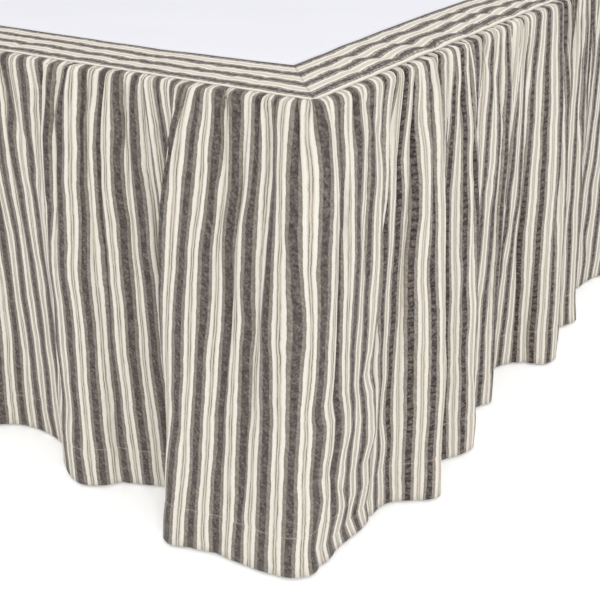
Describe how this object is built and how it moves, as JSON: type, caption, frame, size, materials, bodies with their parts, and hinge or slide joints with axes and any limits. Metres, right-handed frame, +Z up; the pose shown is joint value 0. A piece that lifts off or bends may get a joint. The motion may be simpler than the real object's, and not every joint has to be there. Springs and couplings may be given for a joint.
{
  "type": "bed skirt on box spring",
  "caption": "Gathered bed skirt in ticking stripe with a mitred striped border round a plain deck, hanging over the foot and both sides of a plain box spring on legs.",
  "frame": {"origin": "on the floor under the middle of the whole part", "axes": "+X towards the right-hand side seen from the foot, +Y from the foot towards the open head end, +Z up"},
  "size_m": [1.1078, 2.0031, 0.4051],
  "materials": {
    "striped_cotton": "matte",
    "deck_cotton": "matte",
    "box_cover": "matte",
    "leg_wood": "satin"
  },
  "bodies": {
    "root": {"border_foot": "striped_cotton", "border_left": "striped_cotton", "border_right": "striped_cotton", "box_spring": "box_cover", "deck": "deck_cotton", "leg_left_1": "leg_wood", "leg_left_2": "leg_wood", "leg_left_3": "leg_wood", "leg_right_1": "leg_wood", "leg_right_2": "leg_wood", "leg_right_3": "leg_wood", "ruffle_foot": "striped_cotton", "ruffle_left": "striped_cotton", "ruffle_right": "striped_cotton"}
  },
  "joints": []
}
